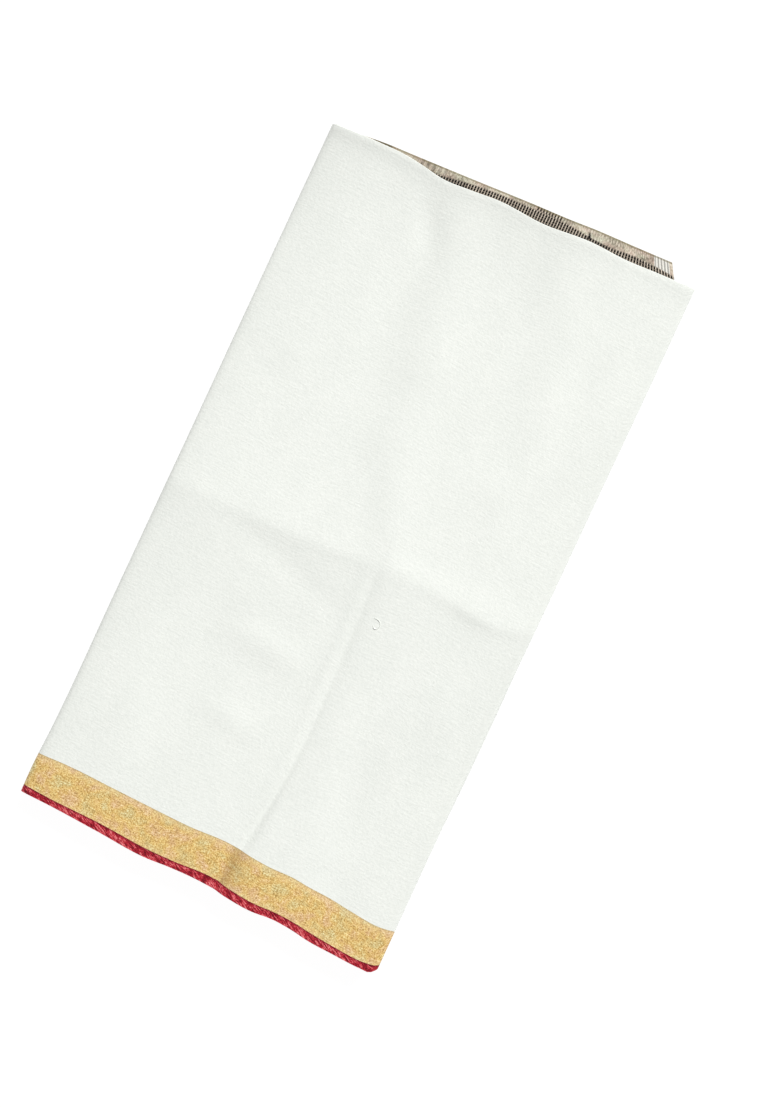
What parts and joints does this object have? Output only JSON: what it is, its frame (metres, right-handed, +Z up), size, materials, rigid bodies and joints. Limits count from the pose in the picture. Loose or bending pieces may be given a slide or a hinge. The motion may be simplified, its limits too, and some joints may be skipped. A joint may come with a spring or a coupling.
{
  "type": "folded cotton saree",
  "caption": "Cotton saree folded flat into a long packet, with a gold border, a red selvedge and patterned ends that show past its folded end.",
  "frame": {"origin": "on the surface it lies on, under the middle of the packet", "axes": "+Z up out of the top panel, +Y along the packet from the selvedge end to the folded end, +X from the spine fold to the open side"},
  "size_m": [0.3076, 0.5919, 0.0244],
  "materials": {
    "body_cotton": "plain-woven cotton with slubs",
    "border_gold": "gold tissue weave",
    "selvedge_red": "twilled cotton selvedge",
    "pallu_tussar": "slubby wild-silk weave",
    "striped_black": "black weft stripes on wild silk"
  },
  "bodies": {
    "root": {"top_panel_body": "body_cotton", "top_panel_border": "border_gold", "top_panel_selvedge": "selvedge_red", "spine_fold_body": "body_cotton", "spine_fold_border": "border_gold", "spine_fold_selvedge": "selvedge_red", "under_panel_body": "body_cotton", "under_panel_border": "border_gold", "under_panel_selvedge": "selvedge_red", "pallu_side_selvedge": "selvedge_red", "striped_side_selvedge": "selvedge_red", "hidden_layers": "body_cotton", "pallu_end": "pallu_tussar", "striped_end": "striped_black"}
  },
  "joints": []
}
